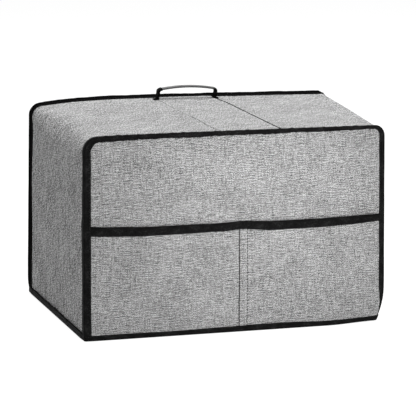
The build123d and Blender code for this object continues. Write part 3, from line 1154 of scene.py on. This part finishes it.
# A tree that lays one stitch every pitch along each line, turned to follow it
def stitchTree():
    tree = bpy.data.node_groups.new("stitchesAlongLines", "GeometryNodeTree")
    tree.interface.new_socket("Lines", in_out="INPUT", socket_type="NodeSocketGeometry")
    for name in ("Pitch", "Stitch Length", "Thread Radius", "Wander"):
        tree.interface.new_socket(name, in_out="INPUT", socket_type="NodeSocketFloat")
    tree.interface.new_socket("Thread", in_out="INPUT", socket_type="NodeSocketMaterial")
    tree.interface.new_socket("Stitches", in_out="OUTPUT", socket_type="NodeSocketGeometry")

    def add(kind, inputs=(), **settings):
        return addNode(tree, kind, inputs, **settings).outputs

    given = add("NodeGroupInput")
    curve = add("GeometryNodeMeshToCurve", {"Mesh": given["Lines"]})[0]
    points = add("GeometryNodeCurveToPoints", {"Curve": curve, "Length": given["Pitch"]}, mode="LENGTH")

    # One stitch: a small ball drawn out along the thread
    ball = add("GeometryNodeMeshIcoSphere", {"Radius": 1.0, "Subdivisions": 1})["Mesh"]
    half = add("ShaderNodeMath", {0: given["Stitch Length"], 1: 0.5}, operation="MULTIPLY")[0]
    radius = given["Thread Radius"]
    size = add("ShaderNodeCombineXYZ", {"X": radius, "Y": radius, "Z": half})[0]
    stitch = add("GeometryNodeTransform", {"Geometry": ball, "Scale": size})[0]

    # Each stitch leans a little off its line
    most = given["Wander"]
    least = add("ShaderNodeMath", {0: most, 1: -1.0}, operation="MULTIPLY")[0]
    low = add("ShaderNodeCombineXYZ", {"X": least, "Y": least})[0]
    high = add("ShaderNodeCombineXYZ", {"X": most, "Y": most})[0]
    limits = {"Min": low, "Max": high, "Seed": thread["seed"]}
    drawn = add("FunctionNodeRandomValue", limits, data_type="FLOAT_VECTOR")["Value"]
    tilt = add("FunctionNodeEulerToRotation", {0: drawn})[0]
    turns = {"Rotation": points["Rotation"], "Rotate By": tilt}
    turn = add("FunctionNodeRotateRotation", turns, rotation_space="LOCAL")[0]

    sewn = {"Points": points["Points"], "Instance": stitch, "Rotation": turn}
    laid = add("GeometryNodeInstanceOnPoints", sewn)[0]
    real = add("GeometryNodeRealizeInstances", {0: laid})[0]
    smoothed = add("GeometryNodeSetShadeSmooth", {0: real})[0]
    painted = add("GeometryNodeSetMaterial", {"Geometry": smoothed, "Material": given["Thread"]})[0]
    add("NodeGroupOutput", {0: painted})
    return tree


stitches = stitchTree()


# Sews a row of stitches along each line of points
def sewLines(name, lines, kind, material):
    points, edges = [], []
    for line in lines:
        first = len(points)
        points += np.asarray(line, float).tolist()
        edges += [(first + i, first + i + 1) for i in range(len(line) - 1)]
    mesh = bpy.data.meshes.new(name + "Lines")
    mesh.from_pydata(points, edges, [])
    holder = bpy.data.objects.new(name + "Lines", mesh)
    bpy.context.scene.collection.objects.link(holder)
    pitch, length, thick = stitchKinds[kind]
    values = {"Pitch": pitch, "Stitch Length": length, "Thread Radius": thread["radius"] * thick,
              "Wander": thread["wander"], "Thread": material}
    sockets = {item.name: item.identifier for item in stitches.interface.items_tree if item.in_out == "INPUT"}
    modifier = holder.modifiers.new("Stitches", "NODES")
    modifier.node_group = stitches
    for key, value in values.items():
        modifier[sockets[key]] = value
    ready = holder.evaluated_get(bpy.context.evaluated_depsgraph_get())
    baked = bpy.data.meshes.new_from_object(ready)
    baked.name = name
    holder.modifiers.remove(modifier)
    bpy.data.objects.remove(holder)
    bpy.data.meshes.remove(mesh)
    piece = bpy.data.objects.new(name, baked)
    bpy.context.scene.collection.objects.link(piece)
    return piece


# Stitch lines on a taped edge: one near each side of the tape
def tapeLines(rings, facing):
    onPanelSide = rings[:, 2] * 0.7 + rings[:, 3] * 0.3 + np.array([0, facing * 0.12 * mm, 0])
    onBandSide = rings[:, 12] * 0.25 + rings[:, 13] * 0.75
    outward = rings[:, 13] - rings[:, 14]
    outward = outward / np.linalg.norm(outward, axis=-1, keepdims=True)
    return [onPanelSide, onBandSide + outward * 0.05 * mm]


# Stitches of every tape and of the handle's feet
def sewTapes():
    lines = tapeLines(frontTapeRings, -1) + tapeLines(rearTapeRings, 1)
    lines.append(np.concatenate([hemStitches, hemStitches[:1]]))
    x = np.linspace(seamLeft, seamRight, 8)
    lines.append(onPanel(x, mouthZ - 11 * mm, frontY, 1.75 * mm))
    y = handleY + np.linspace(-4.5, 4.5, 8) * mm
    for footX in (legLeft - 3.2 * mm, legRight + 3.2 * mm):
        lines.append(onTop(footX, y, strip["cloth"] + handle["footThickness"]))
    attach(sewLines("edgeStitches", lines, "edge", blackThread), "cover")


seamRows = {  # kind of stitch, thread, x, how far it wanders and how, and its height over the panel
    # the thick black row along the seam's left edge paints the fold's shadow, and the pale row paints a
    # highlight on the seam strip
    "seamFoldPaintedShadow": ("fold", blackThread, seamLeft - 0.1 * mm, 0.25 * mm, (0.9, 0.05), 1.15 * mm),
    "seamStitches": ("seam", blackThread, seamRight, 0.25 * mm, (2.9, 0.05), 1.15 * mm),
    "seamPaintedHighlight": ("paintedHighlight", paintedHighlightThread, seamRight - 2.4 * mm, 0.3 * mm, (1.7, 0.06), 1.25 * mm),
}


# The rows of stitches that hold the pockets down at the middle; the thick black row paints the shadow of the
# fold, and the pale row paints a highlight
def sewSeam():
    z = np.linspace(hem["top"], mouthZ - 12 * mm, 60)
    for name, (kind, material, x, wander, wave, out) in seamRows.items():
        row = onPanel(x + wander * ripple(z, *wave), z, frontY, out)
        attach(sewLines(name, [row], kind, material), "cover")


# The stitches of the strip's left edge, in pale thread near the handle as painted highlight and dark grey
# thread in front as painted shade
def sewStrip():
    change = strip["paintedLightChange"]
    spans = {"Front": (stripLow.y, change, paintedShadeThread), "Rear": (change, handleY, paintedHighlightThread)}
    for name, (low, high, material) in spans.items():
        y = np.linspace(low, high, 50)
        row = onTop(stripEdge("left", y) + 1.2 * mm, y, strip["cloth"] + 0.05 * mm)
        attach(sewLines("stripStitches" + name, [row], "strip", material), "cover")


# One row along each half of the mouth tapes
def sewPockets():
    for side in pocketSpans:
        for half, low, high, fixedX, movingX in halves(side):
            x = np.linspace(low + 2 * mm, high - 2 * mm, 40)
            z = mouthZ - pocket["stitchReach"] - np.interp(x, *pocket["tapeDrop"]) * mm
            row = pocketPoint(side, x, z, pocket["tapeThickness"] - 0.65 * mm)
            name = "mouthStitches" + side.capitalize() + half
            piece = sewLines(name, [row], "edge", blackThread)
            bendPocket(piece)


sewTapes()
sewSeam()
sewStrip()
sewPockets()
print("stitches sewn")


# Stage, light and camera

stage = {
    "floorReach": 30.0,
    "floorLevel": -0.3 * mm,
    "floorTone": 0.16,
    "floorGlow": 0.93,
    "worldStrength": 0.03,
    "overhead": ((0.32, 0.2, 2.6), (0, 0, 0.1), (2.4, 2.4), 136),  # place, target, size and power
    "front": ((0.06, -0.54, 0.26), (0.05, -0.17, 0.16), (0.2, 0.25), 1.6),
    "camera": (-1.4023, -5.1062, 1.2333),
    "yaw": 15.41,
    "pitch": 11.502,
    "lens": 305.3,
}


def makeFloor():
    mesh = bpy.data.meshes.new("floor")
    reach = stage["floorReach"]
    corners = [(reach * x, reach * y, stage["floorLevel"]) for x, y in ((-1, -1), (1, -1), (1, 1), (-1, 1))]
    mesh.from_pydata(corners, [], [(0, 1, 2, 3)])
    floor = bpy.data.objects.new("floor", mesh)
    bpy.context.scene.collection.objects.link(floor)
    paint = bpy.data.materials.new("floorPaint")
    paint.use_nodes = True
    shader = paint.node_tree.nodes["Principled BSDF"]
    tone = stage["floorTone"]
    shader.inputs["Base Color"].default_value = (tone, tone, tone, 1)
    shader.inputs["Roughness"].default_value = 1.0
    shader.inputs["Specular IOR Level"].default_value = 0.0
    shader.inputs["Emission Color"].default_value = (1, 1, 1, 1)
    shader.inputs["Emission Strength"].default_value = stage["floorGlow"]
    mesh.materials.append(paint)


# A rectangular lamp at a place, aimed at a target
def softbox(name, place, target, size, power):
    lamp = bpy.data.lights.new(name, "AREA")
    lamp.shape = "RECTANGLE"
    lamp.size, lamp.size_y = size
    lamp.energy = power
    light = bpy.data.objects.new(name, lamp)
    light.location = place
    light.rotation_euler = (Vector(target) - Vector(place)).to_track_quat("-Z", "Y").to_euler()
    bpy.context.scene.collection.objects.link(light)


def makeStage():
    makeFloor()
    world = bpy.data.worlds.new("studio")
    world.use_nodes = True
    sky = world.node_tree.nodes["Background"]
    sky.inputs["Color"].default_value = (1, 1, 1, 1)
    sky.inputs["Strength"].default_value = stage["worldStrength"]
    bpy.context.scene.world = world
    softbox("overhead", *stage["overhead"])
    softbox("front", *stage["front"])
    lens = bpy.data.cameras.new("camera")
    lens.lens = stage["lens"]
    lens.sensor_width = 36
    lens.clip_end = 200
    camera = bpy.data.objects.new("camera", lens)
    camera.location = stage["camera"]
    turn = (math.radians(90 - stage["pitch"]), 0, math.radians(-stage["yaw"]))
    camera.rotation_euler = turn
    bpy.context.scene.collection.objects.link(camera)
    bpy.context.scene.camera = camera
    bpy.context.scene.view_settings.view_transform = "Standard"
    bpy.context.scene.view_settings.look = "None"


makeStage()
print("stage made")
